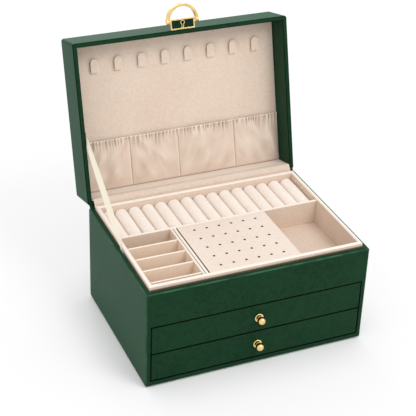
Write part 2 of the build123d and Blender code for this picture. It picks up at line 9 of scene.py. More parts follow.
import bmesh
import bpy
from mathutils import Matrix, Vector, noise
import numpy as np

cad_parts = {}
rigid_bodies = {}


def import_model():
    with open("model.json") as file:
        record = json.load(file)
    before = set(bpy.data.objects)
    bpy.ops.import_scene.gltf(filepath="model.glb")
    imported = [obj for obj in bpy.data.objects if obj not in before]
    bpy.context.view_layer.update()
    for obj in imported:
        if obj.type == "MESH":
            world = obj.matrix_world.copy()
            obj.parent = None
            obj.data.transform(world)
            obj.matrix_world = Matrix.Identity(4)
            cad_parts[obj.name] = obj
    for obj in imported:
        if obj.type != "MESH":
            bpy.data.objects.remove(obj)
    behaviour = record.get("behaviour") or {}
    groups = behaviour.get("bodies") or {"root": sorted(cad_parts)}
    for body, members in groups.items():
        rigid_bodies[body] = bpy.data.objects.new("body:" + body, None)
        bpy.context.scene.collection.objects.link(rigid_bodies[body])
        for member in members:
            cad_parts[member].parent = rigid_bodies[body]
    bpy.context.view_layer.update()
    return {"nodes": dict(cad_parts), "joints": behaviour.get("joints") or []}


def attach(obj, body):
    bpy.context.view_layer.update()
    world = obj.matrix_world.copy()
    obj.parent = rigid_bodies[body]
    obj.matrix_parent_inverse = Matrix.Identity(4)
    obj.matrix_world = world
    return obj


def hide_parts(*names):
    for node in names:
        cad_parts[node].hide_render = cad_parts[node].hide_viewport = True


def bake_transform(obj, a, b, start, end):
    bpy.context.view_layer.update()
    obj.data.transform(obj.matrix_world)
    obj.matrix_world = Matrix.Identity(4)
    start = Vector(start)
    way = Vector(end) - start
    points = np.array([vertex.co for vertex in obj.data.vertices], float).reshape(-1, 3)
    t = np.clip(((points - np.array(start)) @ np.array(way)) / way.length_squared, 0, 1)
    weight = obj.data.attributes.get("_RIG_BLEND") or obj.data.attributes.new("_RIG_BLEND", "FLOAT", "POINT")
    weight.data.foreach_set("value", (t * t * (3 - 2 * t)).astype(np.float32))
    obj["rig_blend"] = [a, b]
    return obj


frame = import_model()

MM = 0.001
TO_METRES = Matrix.Scale(MM, 4)
MARKS = ("edge", "pit", "seam")
SHARP_ANGLE = math.radians(51)
CORNER_ANGLE = math.radians(60)
# Least part of a face's normal along an axis: for a face turned that way, and for a flat one
FACING = 0.9
FLAT = 0.99
CASE = Matrix()
lid_hinge = next(joint for joint in frame["joints"] if joint["name"] == "lid_hinge")
lid_open = math.radians(lid_hinge["range_deg"][0])
LID = Matrix.Translation(lid_hinge["pos_m"]) @ Matrix.Rotation(lid_open, 4, "X")


# Finishes


def tint(red, green, blue):
    """A colour given in 0 to 255, as the shader takes it."""
    parts = [part / 255 for part in (red, green, blue)]
    return (*[p / 12.92 if p <= 0.04045 else ((p + 0.055) / 1.055) ** 2.4 for p in parts], 1.0)


class Wire:
    """A socket of a finish; arithmetic on it adds Math nodes."""

    def __init__(self, paint, socket):
        self.paint = paint
        self.socket = socket

    def math(self, operation, first, second):
        return self.paint.node("ShaderNodeMath", {"operation": operation}, {0: first, 1: second})

    def __add__(self, other):
        return self.math("ADD", self, other)

    def __sub__(self, other):
        return self.math("SUBTRACT", self, other)

    def __mul__(self, other):
        return self.math("MULTIPLY", self, other)

    def __pow__(self, other):
        return self.math("POWER", self, other)

    __radd__ = __add__
    __rmul__ = __mul__


class Paint:
    """A finish: a material, the record slot it stands for and the nodes that vary it."""

    def __init__(self, name, slot, plain):
        self.slot = slot
        self.material = bpy.data.materials.new(name)
        self.material.use_nodes = True
        self.tree = self.material.node_tree
        self.shader = self.tree.nodes["Principled BSDF"]
        for socket, value in plain.items():
            self.shader.inputs[socket].default_value = value
        self.where = self.node("ShaderNodeTexCoord", output="Object")

    def node(self, kind, settings=None, sockets=None, output=0):
        node = self.tree.nodes.new(kind)
        for name, value in (settings or {}).items():
            setattr(node, name, value)
        for key, value in (sockets or {}).items():
            if isinstance(value, Wire):
                self.tree.links.new(value.socket, node.inputs[key])
            else:
                node.inputs[key].default_value = value
        return Wire(self, node.outputs[output])

    def plug(self, socket, wire):
        self.tree.links.new(wire.socket, self.shader.inputs[socket])

    def cloud(self, scale, detail=2.0, where=None, distortion=0.0):
        sockets = {"Vector": where or self.where, "Scale": scale, "Detail": detail, "Distortion": distortion}
        return self.node("ShaderNodeTexNoise", {}, sockets, "Fac")

    def cells(self, scale):
        sockets = {"Vector": self.where, "Scale": scale}
        return self.node("ShaderNodeTexVoronoi", {"feature": "F1"}, sockets, "Distance")

    def stretched(self, scale, turn=(0, 0, 0), where=None):
        sockets = {"Vector": where or self.where, "Scale": scale, "Rotation": turn}
        return self.node("ShaderNodeMapping", {}, sockets)

    def rise(self, value, low, high):
        sockets = {"Value": value, "From Min": low, "From Max": high}
        return self.node("ShaderNodeMapRange", {"interpolation_type": "SMOOTHSTEP"}, sockets)

    def blend(self, amount, first, second):
        return self.node("ShaderNodeMix", {"data_type": "RGBA"}, {0: amount, 6: first, 7: second}, 2)

    def mark(self, name):
        return self.node("ShaderNodeAttribute", {"attribute_name": name}, {}, "Fac")

    def relief(self, height, strength, depth):
        sockets = {"Height": height, "Strength": strength, "Distance": depth * MM}
        self.plug("Normal", self.node("ShaderNodeBump", {}, sockets))


def leather(name, slot, deep, fresh_dye, worn_and_highlit_colour, gloss):
    """Fine-grained leather: pebbles, drifting dye, edges lighter from rubbed wear and a painted highlight,
    and near-black painted shade where marked.
    """
    constant = {
        "Specular IOR Level": gloss,
        "Specular Tint": (0.6, 1.0, 0.75, 1.0),
        "Sheen Weight": 0.2,
        "Sheen Roughness": 0.35,
        "Sheen Tint": (0.4, 0.9, 0.6, 1.0),
    }
    paint = Paint(name, slot, constant)
    dye = paint.cloud(16, 3)
    mottle = paint.cloud(150, 4, distortion=0.6)
    pebbles = paint.cells(640)
    pores = paint.cloud(2400, 2)
    edge = paint.mark("edge")
    tone = paint.rise(0.3 * dye + 0.4 * mottle + 0.3 * pebbles, 0.34, 0.62)
    # Edges lighter: partly rubbed wear, partly painted highlight
    rubbed_and_highlit = edge * (0.2 + 0.5 * paint.rise(paint.cloud(60, 3), 0.3, 0.7))
    colour = paint.blend(rubbed_and_highlit, paint.blend(tone, deep, fresh_dye), worn_and_highlit_colour)
    # Painted shade: near black in the gaps round the drawers and on the lid's rim
    colour = paint.blend(paint.mark("pit") * 0.96, colour, tint(2, 7, 4))
    paint.plug("Base Color", colour)
    paint.plug("Roughness", 0.4 + 0.14 * dye + 0.1 * pebbles - 0.06 * edge)
    paint.relief(0.75 * pebbles + 0.35 * pores, 0.3, 0.22)
    return paint


def suede(name, shaded, plain, painted_highlight):
    """Brushed lining: nap that lies in patches, short fibres, a painted highlight on the edges, and painted
    shade where marked.
    """
    constant = {"Specular IOR Level": 0.1, "Sheen Weight": 0.15, "Sheen Roughness": 0.45}
    paint = Paint(name, "suede_lining", constant)
    patches = paint.cloud(22, 3)
    strokes = paint.cloud(380, 3, paint.stretched((0.7, 1, 1), (0, 0, 0.5)))
    fibres = paint.cloud(1400, 3)
    tone = paint.rise(0.2 * patches + 0.35 * strokes + 0.45 * fibres, 0.34, 0.66)
    # Painted highlight on marked edges and wall tops
    edge = paint.mark("edge") * (0.6 + 0.4 * fibres)
    colour = paint.blend(edge, paint.blend(tone, shaded, plain), painted_highlight)
    # Painted shade, warm brown, in holes, grooves, down the pad's sides and at the tray's foot
    colour = paint.blend(paint.mark("pit"), colour, tint(104, 68, 44))
    paint.plug("Base Color", colour)
    paint.plug("Roughness", 0.78 + 0.18 * fibres)
    paint.relief(0.6 * fibres + 0.4 * strokes, 0.3, 0.22)
    return paint


def pocket_weave():
    """Thin suede cloth: fine weave along the cloth, dark stitched seams, painted shade in the folds and
    along the foot, and a painted highlight on the hem and ridges.
    """
    paint = Paint("pocket_cloth_fine", "pocket_cloth", {"Sheen Weight": 0.2, "Specular IOR Level": 0.15})
    cloth = paint.node("ShaderNodeUVMap", {"uv_map": "cloth"})
    threads = paint.cloud(900, 2, paint.stretched((1, 0.3, 1), where=cloth))
    fibres = paint.cloud(1500, 3)
    patches = paint.cloud(30, 3)
    tone = paint.rise(0.4 * patches + 0.3 * threads + 0.3 * fibres, 0.36, 0.64)
    colour = paint.blend(tone, tint(217, 196, 178), tint(231, 213, 197))
    # Painted highlight on the hem, ridges and beside the seams
    colour = paint.blend(paint.mark("edge") * 0.8, colour, tint(250, 239, 227))
    # Dark stitched seams, and painted shade along the foot and in the folds
    colour = paint.blend(paint.mark("seam") * 0.8, colour, tint(150, 116, 90))
    paint.plug("Base Color", colour)
    paint.plug("Roughness", 0.66 + 0.2 * fibres)
    paint.relief(0.5 * threads + 0.5 * fibres, 0.2, 0.15)
    return paint


def ribbon_weave():
    """Cream ribbon with fine cross ribs and firm selvedges."""
    paint = Paint("stay_ribbon_woven", "ribbon", {"Sheen Weight": 0.5, "Specular IOR Level": 0.3})
    cloth = paint.node("ShaderNodeUVMap", {"uv_map": "cloth"})
    ribs = paint.node(
        "ShaderNodeTexWave",
        {"wave_type": "BANDS", "bands_direction": "X"},
        {"Vector": cloth, "Scale": 70.0, "Distortion": 0.4, "Detail": 1.0},
        "Fac",
    )
    drift = paint.cloud(90, 3)
    tone = paint.rise(0.5 * ribs + 0.5 * drift, 0.2, 0.8)
    colour = paint.blend(tone, tint(254, 239, 212), tint(255, 248, 228))
    colour = paint.blend(paint.mark("edge") * 0.5, colour, tint(255, 249, 234))
    paint.plug("Base Color", colour)
    paint.plug("Roughness", 0.5 + 0.15 * drift)
    paint.relief(ribs, 0.35, 0.12)
    return paint


def gilding(name, slot, rough):
    """Polished brass with a soft haze, fine scratches, a painted highlight on the edges and near-black
    painted shade where marked.
    """
    paint = Paint(name, slot, {"Metallic": 1.0})
    haze = paint.cloud(240, 3)
    scratches = paint.cloud(2200, 2, paint.stretched((1, 0.05, 0.3), (0.4, 0.2, 0.7)))
    tone = paint.rise(0.45 * haze + 0.55 * scratches, 0.2, 0.8)
    colour = paint.blend(tone, tint(228, 180, 98), tint(255, 230, 168))
    # Painted highlight on the edges
    colour = paint.blend(paint.mark("edge") * 0.7, colour, tint(255, 244, 208))
    # Painted shade, near black, in the keyhole, slots and at screw heads, and a painted dark reflection on
    # the knob
    colour = paint.blend(paint.mark("pit"), colour, tint(12, 16, 10))
    paint.plug("Base Color", colour)
    paint.plug("Roughness", rough + 0.12 * haze + 0.06 * scratches)
    paint.relief(scratches, 0.03, 0.05)
    return paint


def felted(name, slot, deep, light):
    """Pressed felt: matted fibres in two tones."""
    paint = Paint(name, slot, {"Specular IOR Level": 0.1, "Sheen Weight": 0.1})
    mats = paint.cloud(420, 4, distortion=1.2)
    fluff = paint.cloud(2100, 3)
    paint.plug("Base Color", paint.blend(paint.rise(0.6 * mats + 0.4 * fluff, 0.3, 0.7), deep, light))
    paint.plug("Roughness", 0.84 + 0.14 * fluff)
    paint.relief(mats + 0.5 * fluff, 0.4, 0.3)
    return paint


def card(name, slot, deep, light):
    """Grey board: pressed pulp with short flecks."""
    paint = Paint(name, slot, {"Specular IOR Level": 0.15})
    pulp = paint.cloud(300, 4)
    flecks = paint.rise(paint.cells(520), 0.05, 0.3)
    paint.plug("Base Color", paint.blend(0.5 * pulp + 0.4 * flecks, deep, light))
    paint.plug("Roughness", 0.75 + 0.2 * pulp)
    paint.relief(pulp, 0.25, 0.15)
    return paint


case_leather = leather(
    "case_leather", "green_leather", tint(16, 44, 26), tint(23, 57, 35), tint(66, 112, 86), 0.08
)
inlay_leather = leather(
    "inlay_leather", "clasp_inlay", tint(8, 38, 23), tint(13, 48, 31), tint(40, 84, 62), 0.1
)
lining = suede("lining_suede", tint(219, 198, 180), tint(231, 213, 197), tint(253, 244, 234))
# Lighter copies of the lining for the pad and back liner, the rolls and the slots: painted light for how
# brightly those parts are lit
painted_light_lining = suede("pad_suede", tint(233, 216, 202), tint(243, 229, 217), tint(253, 246, 238))
painted_light_roll_lining = suede("roll_suede", tint(249, 234, 222), tint(255, 247, 239), tint(255, 251, 246))
painted_light_slot_lining = suede("slot_suede", tint(238, 216, 194), tint(246, 228, 209), tint(253, 245, 236))
pocket_cloth = pocket_weave()
ribbon_cloth = ribbon_weave()
gilt = gilding("gilt_brass", "gilt", 0.1)
base_cloth = felted("base_felt_fibres", "felt", tint(20, 30, 25), tint(42, 54, 46))
grey_board = card("grey_board", "board", tint(118, 104, 88), tint(152, 136, 116))


# Shapes


def clamp(value):
    return min(max(value, 0), 1)


def sway(*spot):
    """Smooth noise at a spot, about -1 to 1."""
    return noise.noise(Vector(spot))


def bump(distance, width):
    """1 at no distance, falling off smoothly over a width."""
    return math.exp(-((distance / width) ** 2))


def spread(start, end, margin, count):
    """Even places between two margins."""
    return [start + margin + i * (end - start - 2 * margin) / (count - 1) for i in range(count)]


def node_box(*nodes, place=CASE):
    """Lowest and highest corner of some solids, in millimetres, in a frame."""
    back = (place @ TO_METRES).inverted()
    points = [back @ vert.co for node in nodes for vert in frame["nodes"][node].data.vertices]
    return [Vector([choose(p[i] for p in points) for i in range(3)]) for choose in (min, max)]


def new_mesh(source=None):
    """An empty mesh or a copy of one, with the marks that the finishes read."""
    bm = bmesh.new()
    if source:
        bm.from_mesh(source)
    for mark in MARKS:
        bm.verts.layers.float.new(mark)
    return bm


def slab(bm, low, high):
    """A board between two corners; returns its vertices."""
    low, high = Vector(low), Vector(high)
    place = Matrix.Translation((low + high) / 2) @ Matrix.Diagonal((*(high - low), 1))
    made = bmesh.ops.create_cube(bm, size=1, matrix=place)
    bm.normal_update()
    return made["verts"]


def copied(node, place=CASE):
    """The solid's own shape as a merged mesh, in millimetres."""
    bm = new_mesh(frame["nodes"][node].data)
    bmesh.ops.transform(bm, matrix=(place @ TO_METRES).inverted(), verts=bm.verts)
    bmesh.ops.remove_doubles(bm, verts=bm.verts, dist=0.002)
    bmesh.ops.dissolve_limit(bm, angle_limit=math.radians(1), verts=bm.verts, edges=bm.edges)
    bm.normal_update()
    return bm


def outside_edges(bm, shortest=0.0):
    """Edges where two faces turn away from each other."""
    return [
        edge
        for edge in bm.edges
        if len(edge.link_faces) == 2
        and edge.is_convex
        and edge.calc_face_angle() > CORNER_ANGLE
        and edge.calc_length() > shortest
    ]


def top_edges(bm, shortest=8.0):
    """The long outside edges at a piece's highest level."""
    level = max(vert.co.z for vert in bm.verts) - 0.01
    return [edge for edge in outside_edges(bm, shortest) if min(v.co.z for v in edge.verts) > level]


def soften(bm, edges, radius, segments=3, wear_and_highlight=1.0):
    """Rounds some edges and marks the rounding, which the finishes paint lighter: rubbed wear on leather,
    and a painted highlight.
    """
    made = bmesh.ops.bevel(
        bm,
        geom=list(edges),
        offset=radius,
        offset_type="OFFSET",
        segments=segments,
        profile=0.5,
        affect="EDGES",
        clamp_overlap=True,
        material=-1,
    )
    rounded = set(made["faces"])
    edge_mark = bm.verts.layers.float["edge"]
    for vert in {vert for face in rounded for vert in face.verts}:
        if rounded.issuperset(vert.link_faces):
            vert[edge_mark] = wear_and_highlight
    bm.normal_update()


def soften_top(bm, radius, segments=3):
    """Rounds a wall's top and marks all of it for a painted highlight."""
    soften(bm, top_edges(bm, 12), radius, segments)
    level = max(vert.co.z for vert in bm.verts) - 0.6 * radius
    edge_mark = bm.verts.layers.float["edge"]
    for vert in bm.verts:
        if vert.co.z > level:
            vert[edge_mark] = 1.0


def split(bm, faces, point, along):
    """Cuts some faces by a plane and returns the faces they became."""
    parts = [*faces, *{e for f in faces for e in f.edges}, *{v for f in faces for v in f.verts}]
    made = bmesh.ops.bisect_plane(bm, geom=parts, plane_co=point, plane_no=along)
    return [part for part in made["geom"] if isinstance(part, bmesh.types.BMFace)]


def drop(bm, faces):
    bmesh.ops.delete(bm, geom=list(faces), context="FACES")


def thicken(bm, wall):
    """Gives open faces a wall that grows inwards, and closes the meeting lines."""
    bmesh.ops.solidify(bm, geom=bm.faces[:], thickness=wall)
    bmesh.ops.remove_doubles(bm, verts=bm.verts, dist=0.01)
    bmesh.ops.dissolve_degenerate(bm, edges=bm.edges, dist=0.01)
    bm.normal_update()


def body_of(node):
    return frame["nodes"][node].parent.name.split(":", 1)[1]


def piece(name, bm, paint, nodes, place=CASE, shaded_by_area=True):
    """Puts a drawn shape in its place as a piece that stands for some solids."""
    bmesh.ops.transform(bm, matrix=place @ TO_METRES, verts=bm.verts)
    for face in bm.faces:
        face.smooth = True
    for edge in bm.edges:
        edge.smooth = len(edge.link_faces) == 2 and edge.calc_face_angle(0) < SHARP_ANGLE
    mesh = bpy.data.meshes.new(name)
    bm.to_mesh(mesh)
    bm.free()
    mesh.materials.append(paint.material)
    obj = bpy.data.objects.new(name, mesh)
    bpy.context.scene.collection.objects.link(obj)
    if shaded_by_area:
        obj.modifiers.new("even_shading", "WEIGHTED_NORMAL").keep_sharp = True
    if nodes:
        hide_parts(*nodes)
    return obj


def riding(name, bm, paint, nodes, place=CASE):
    """A piece that moves with the body of the solids it stands for."""
    obj = piece(name, bm, paint, nodes, place)
    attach(obj, body_of(nodes[0]))
    return obj


def keep_solid(node, paint):
    """Leaves the solid's own shape showing, in a better finish."""
    frame["nodes"][node].material_slots[0].material = paint.material


# Case and lid


def shade_gap(bm, depth, low, high):
    """Marks what lies behind a depth, inside a frame seen from the front, for painted shade as a dark gap.
    """
    split(bm, bm.faces[:], (0, depth, 0), (0, 1, 0))
    painted_shade_mark = bm.verts.layers.float["pit"]
    for vert in bm.verts:
        if vert.co.y > depth - 0.01 and low.x < vert.co.x < high.x and low.z < vert.co.z < high.z:
            vert[painted_shade_mark] = 1.0


def case_wrap():
    """One skin of leather over the case's boards, open at the top and at the drawers."""
    boards = ("case_left", "case_right", "case_back", "case_bottom", "front_apron")
    near = 0.1
    opening_radius, edge_radius = 0.6, 1.6
    lip = 0.3
    low, high = node_box(*boards)
    left = node_box("case_left")[1].x
    right = node_box("case_right")[0].x
    sill = node_box("case_bottom")[1].z
    lintel = node_box("front_apron")[0].z
    back = node_box("case_back")[0].y
    front_back = node_box("front_apron")[1].y
    bm = new_mesh()
    slab(bm, low, high)
    drop(bm, [face for face in bm.faces if face.normal.z > FACING])
    front = [face for face in bm.faces if face.normal.y < -FACING]
    for x in (left, right):
        front = split(bm, front, (x, 0, 0), (1, 0, 0))
    for z in (sill, lintel):
        front = split(bm, front, (0, 0, z), (0, 0, 1))
    opening = []
    for face in front:
        middle = face.calc_center_median()
        if left < middle.x < right and sill < middle.z < lintel:
            opening.append(face)
    drop(bm, opening)
    wall = left - low.x
    thicken(bm, wall)
    # Boards of another thickness: their inner faces go where the solids have them
    inner_faces = ((1, high.y - wall, back), (1, low.y + wall, front_back), (2, low.z + wall, sill))
    for vert in bm.verts:
        for axis, drawn, wanted in inner_faces:
            if abs(vert.co[axis] - drawn) < 0.05:
                vert.co[axis] = wanted
    around = []
    for edge in outside_edges(bm, 10):
        corners = [vert.co for vert in edge.verts]
        in_width = all(left - near < co.x < right + near for co in corners)
        in_height = all(sill - near < co.z < lintel + near for co in corners)
        if in_width and in_height and all(co.y < low.y + near for co in corners):
            around.append(edge)
    soften(bm, around, opening_radius, wear_and_highlight=0.3)
    soften(bm, outside_edges(bm, 3), edge_radius, 4)
    # Painted shade in the gap round the drawer opening
    gap_low = Vector((left - lip, 0, sill - lip))
    gap_high = Vector((right + lip, 0, lintel + lip))
    shade_gap(bm, low.y + 0.05, gap_low, gap_high)
    riding("case_wrap", bm, case_leather, boards)


def lid_wrap():
    """One skin of leather over the lid's boards, open at the rim."""
    boards = ("lid_top", "lid_left", "lid_right", "lid_front", "lid_back")
    corner_radius, edge_radius = 3.0, 1.0
    wear_and_highlight = 0.3
    rim_height = 1.2
    low, high = node_box(*boards, place=LID)
    wall = node_box("lid_left", place=LID)[1].x - low.x
    bm = new_mesh()
    slab(bm, low, high)
    drop(bm, [face for face in bm.faces if face.normal.z < -FACING])
    thicken(bm, wall)
    corners = []
    for edge in outside_edges(bm, 10):
        first, second = (vert.co for vert in edge.verts)
        if abs(first.z - second.z) > 10:
            corners.append(edge)
    soften(bm, corners, corner_radius, 6, wear_and_highlight)
    soften(bm, outside_edges(bm, 0.4), edge_radius, 4, wear_and_highlight)
    # Painted shade on the rim's rounding, which lies against the case when shut, in place of the painted
    # highlight
    edge_mark = bm.verts.layers.float["edge"]
    painted_shade_mark = bm.verts.layers.float["pit"]
    for vert in bm.verts:
        if vert[edge_mark] > 0 and vert.co.z < low.z + rim_height:
            vert[edge_mark] = 0.0
            vert[painted_shade_mark] = 0.8
    riding("lid_wrap", bm, case_leather, boards, LID)


def rounded_board(node, paint, radius, place=CASE, all_round=True):
    """A board over a flat solid, with its edges rounded all round or at the top."""
    bm = new_mesh()
    slab(bm, *node_box(node, place=place))
    if all_round:
        soften(bm, outside_edges(bm), radius)
    else:
        soften_top(bm, radius)
    riding(f"{node}_covered", bm, paint, [node], place)


def rounded_copy(node, paint, radius, shortest=0.0, place=CASE, ending="eased"):
    """The solid's own shape with its outside edges eased."""
    bm = copied(node, place)
    soften(bm, outside_edges(bm, shortest), radius)
    riding(f"{node}_{ending}", bm, paint, [node], place)


# Tray


def tray_frame():
    """The four tray walls as one covered frame with a rounded rim."""
    walls = ("tray_left_wall", "tray_right_wall", "tray_front_wall", "tray_back_wall")
    line_height, fade_height = 0.2, 1.4
    low, high = node_box(*walls)
    bm = new_mesh()
    slab(bm, low, high)
    drop(bm, [face for face in bm.faces if abs(face.normal.z) > FACING])
    thicken(bm, node_box("tray_left_wall")[1].x - low.x)
    soften_top(bm, 1.5, 4)
    # Painted shade: a dark line where the frame comes out of the case, fading upwards
    rim = node_box("case_left")[1].z
    for level in (rim + line_height, rim + fade_height):
        split(bm, bm.faces[:], (0, 0, level), (0, 0, 1))
    painted_shade_mark = bm.verts.layers.float["pit"]
    for vert in bm.verts:
        outside = abs(vert.co.x) > high.x - 0.05 or abs(vert.co.y) > high.y - 0.05
        if outside and vert.co.z < rim + line_height + 0.1:
            vert[painted_shade_mark] = 0.9
    riding("tray_frame", bm, lining, walls)


def ring_rolls():
    """Fifteen padded rolls side by side, round on top and at their ends."""
    count = 15
    gap = 0.2
    roundness = 0.485
    top_segments, end_segments = 12, 4
    end_radius = 2.4
    steps = 14
    firm_foot = 6
    low, high = node_box("ring_rolls")
    pitch = (high.x - low.x + gap) / count
    radius = 0.5 * (pitch - gap)
    bm = new_mesh()
    for index in range(count):
        left = low.x + index * pitch
        roll = new_mesh()
        slab(roll, (left, low.y, low.z), (left + pitch - gap, high.y, high.z))
        soften(roll, top_edges(roll, 20), roundness * (pitch - gap), top_segments)
        ends = [face for face in roll.faces if abs(face.normal.y) > FACING]
        rims = [e for f in ends for e in f.edges if max(v.co.z for v in e.verts) > low.z + 1]
        soften(roll, rims, end_radius, end_segments)
        for step in range(1, steps):
            y = low.y + (high.y - low.y) * step / steps
            split(roll, roll.faces[:], (0, y, 0), (0, 1, 0))
        roll.normal_update()
        edge_mark = roll.verts.layers.float["edge"]
        painted_shade_mark = roll.verts.layers.float["pit"]
        # Painted shade down each roll's sides, darkest in the grooves between rolls, and no painted
        # highlight
        for vert in roll.verts:
            below = (high.z - vert.co.z) / radius
            shade = clamp((below - 0.4) / 0.6)
            groove = clamp((below - 0.85) / 0.25)
            vert[edge_mark] = 0.0
            vert[painted_shade_mark] = 0.22 * shade + 0.65 * groove
            if vert.co.z > low.z + firm_foot:
                swell = sway(index * 7.3, vert.co.y * 0.06, vert.co.x * 0.12)
                vert.co += vert.normal * (0.2 * swell - 0.08)
        mesh = bpy.data.meshes.new("roll")
        roll.to_mesh(mesh)
        roll.free()
        bm.from_mesh(mesh)
        bpy.data.meshes.remove(mesh)
    rolls = riding("ring_rolls_padded", bm, painted_light_roll_lining, ["ring_rolls"])


def stud_panel():
    """The lift-out pad with its grid of stud holes, darkened inside with painted shade."""
    columns, rows = 6, 5
    margin_x, margin_y = 15.5, 11.0
    half = 1.8
    side_cuts = 3
    shaded_below = 0.9
    rings = ((1.45, 0.0, 0.35), (1.15, 0.25, 1.0), (1.1, 3.0, 1.0))
    low, high = node_box("stud_panel")
    xs = spread(low.x, high.x, margin_x, columns)
    ys = spread(low.y, high.y, margin_y, rows)
    places = [Vector((x, y, high.z)) for x in xs for y in ys]

    def at_hole(face):
        middle = face.calc_center_median()
        return any((middle - place).length < 0.1 for place in places)

    bm = new_mesh()
    slab(bm, low, high)
    soften(bm, outside_edges(bm), 1.0, 4)
    top = [face for face in bm.faces if face.normal.z > FLAT]
    for x in xs:
        for side in (-half, half):
            top = split(bm, top, (x + side, 0, 0), (1, 0, 0))
    for y in ys:
        for side in (-half, half):
            top = split(bm, top, (0, y + side, 0), (0, 1, 0))
    borders = list({edge for face in top if at_hole(face) for edge in face.edges})
    bmesh.ops.subdivide_edges(bm, edges=borders, cuts=side_cuts)
    bm.normal_update()
    corners = 4 * (side_cuts + 1)
    holes = [face for face in bm.faces if len(face.verts) == corners and at_hole(face)]
    # Painted shade down the pad's sides and inside the stud holes
    painted_shade_mark = bm.verts.layers.float["pit"]
    for vert in bm.verts:
        if vert.co.z < high.z - shaded_below:
            vert[painted_shade_mark] = 0.7
    for radius, depth, pit in rings:
        bmesh.ops.inset_individual(bm, faces=holes, thickness=0.12, use_even_offset=True)
        for face in holes:
            middle = face.calc_center_median()
            for vert in face.verts:
                out = (vert.co - middle) * Vector((1, 1, 0))
                vert.co = Vector((middle.x, middle.y, high.z - depth)) + out.normalized() * radius
                vert[painted_shade_mark] = pit
    riding("stud_panel_pad", bm, painted_light_lining, ["stud_panel"])


# Lid lining


def level_at(height, levels):
    """Reads a value off a short table of heights and values."""
    for (h0, v0), (h1, v1) in zip(levels, levels[1:]):
        if height <= h1:
            return v0 + (v1 - v0) * (height - h0) / (h1 - h0)
    return levels[-1][1]


def along_path(points, share):
    """A place on a smooth line through some points."""
    place = share * (len(points) - 1)
    i = min(int(place), len(points) - 2)
    t = place - i
    before, after = points[max(i - 1, 0)], points[min(i + 2, len(points) - 1)]
    a, b = points[i], points[i + 1]
    curve = 2 * before - 5 * a + 4 * b - after
    return 0.5 * (2 * a + (b - before) * t + curve * t**2 + (3 * a - before - 3 * b + after) * t**3)


def cloth_grid(columns, rows):
    """A flat unit square of cloth, with the coordinates that its weave follows."""
    bm = new_mesh()
    bm.loops.layers.uv.new("cloth")
    bmesh.ops.create_grid(bm, x_segments=columns, y_segments=rows, size=0.5, calc_uvs=True)
    return bm


def hinge_strip(name, paint, half, path, slack):
    """A flexible strip along the hinge, drawn across the box and carried along a path."""
    path = [Vector((0, y, z)) for y, z in path]
    bm = cloth_grid(120, 40)
    for vert in bm.verts:
        x = vert.co.x * 2 * half
        share = vert.co.y + 0.5
        loose = slack * sway(x * 0.05, share * 4, 2.2) * math.sin(math.pi * share)
        vert.co = along_path(path, share) + Vector((x, -loose, loose))
    return piece(name, bm, paint, [], shaded_by_area=False)


def beside_lid(y, z):
    """A place in the closed lid's frame, as the open lid carries it."""
    spot = LID @ (Vector((0, y, z)) * MM) / MM
    return spot.y, spot.z


def gathered_pocket():
    """The pocket as one sheet: full between its seams, gathered under its hem."""
    seams = (-62.7, -5.2, 63.8)
    seam_top = 4.0
    coarse, fine = 4.2, 2.7
    pleat_depth, crease_depth = 0.95, 3.4
    least_lift = 0.5
    fullness = ((0, 0.6), (0.18, 2.9), (0.55, 3.9), (0.86, 3.4), (1.0, 2.6))
    low, high = node_box("pocket", "pocket_elastic", place=LID)
    panel = node_box("lid_panel", place=LID)[0].z
    width = high.x - low.x
    height = high.y - low.y
    ends = (low.x, *seams, high.x)
    bm = cloth_grid(480, 56)
    edge_mark = bm.verts.layers.float["edge"]
    seam_and_shade_mark = bm.verts.layers.float["seam"]
    for vert in bm.verts:
        x = low.x + (vert.co.x + 0.5) * width
        share = vert.co.y + 0.5
        below = (1 - share) * height
        bay = max(i for i in range(len(seams) + 1) if x >= ends[i] - 0.001)
        left, right = ends[bay], ends[bay + 1]
        along = clamp((x - left) / (right - left))
        swell = math.sqrt(abs(math.sin(math.pi * along)))

        # Gathers under the hem, uneven in depth and length
        wander = 1.3 * sway(x * 0.06, 4.2, 0)
        pleat = math.cos(2 * math.pi * (x / coarse + wander + 0.012 * below))
        pleat += 0.5 * math.cos(2 * math.pi * (x / fine + 2.1 * wander))
        pleat *= 0.75 + 0.6 * sway(x * 0.21, below * 0.09, 6.6)
        length = max(5.5 + 7 * sway(x * 0.16, 1.7, 0), 2.5)
        reach = math.exp(-((max(below - 3.0, 0) / length) ** 1.4))
        pleats = pleat_depth * pleat * reach * min(1, 3 * swell) * (0.7 + 0.3 * min(1, below / 3))

        # Wide creases, leaning the other way in every second bay
        lean = 1.0 if bay % 2 == 0 else -1.0
        slant = x * 0.085 + lean * below * 0.03
        drift = sway(slant, below * 0.05, 9.1 + bay)
        drift += 0.3 * sway(2.1 * slant, below * 0.06, 3.3 + bay)
        creases = crease_depth * drift * swell * min(1, below / 9) * min(1, share * 4)

        hem = 0.6 * bump(below - 1.0, 0.9)
        tuck = -0.5 * bump(below - 2.7, 0.7)
        lift = 0.75 + level_at(share, fullness) * swell + pleats + creases + hem + tuck
        vert.co = Vector((x, high.y - share * height, panel - max(lift, least_lift)))

        # Painted highlight on the hem, on ridges and beside the seams
        hem_light = bump(below - 0.6, 1.0)
        ridge = 0.6 * reach * max(0, pleat) if below > 1.2 else 0.0
        beside = min(abs(x - seam + 0.9) for seam in seams)
        lit = 0.8 * bump(beside, 0.6) if below > seam_top else 0.0
        vert[edge_mark] = max(hem_light, ridge, lit, 0.5 * drift * swell)

        # Darker: dark stitched seams, and painted shade along the foot and in valleys
        near = min(abs(x - seam - 0.3) for seam in seams)
        stitched = bump(near, 0.55) if below > seam_top else 0.0
        valley = 0.8 * reach * max(0, 0.3 - 0.65 * pleat) if below > 0.8 else 0.0
        foot = bump(share * height, 0.9)
        vert[seam_and_shade_mark] = max(0.75 * stitched, foot, valley + 0.4 * max(0, -drift) * swell)
    return riding("pocket_cloth", bm, pocket_cloth, ["pocket", "pocket_elastic"], LID)


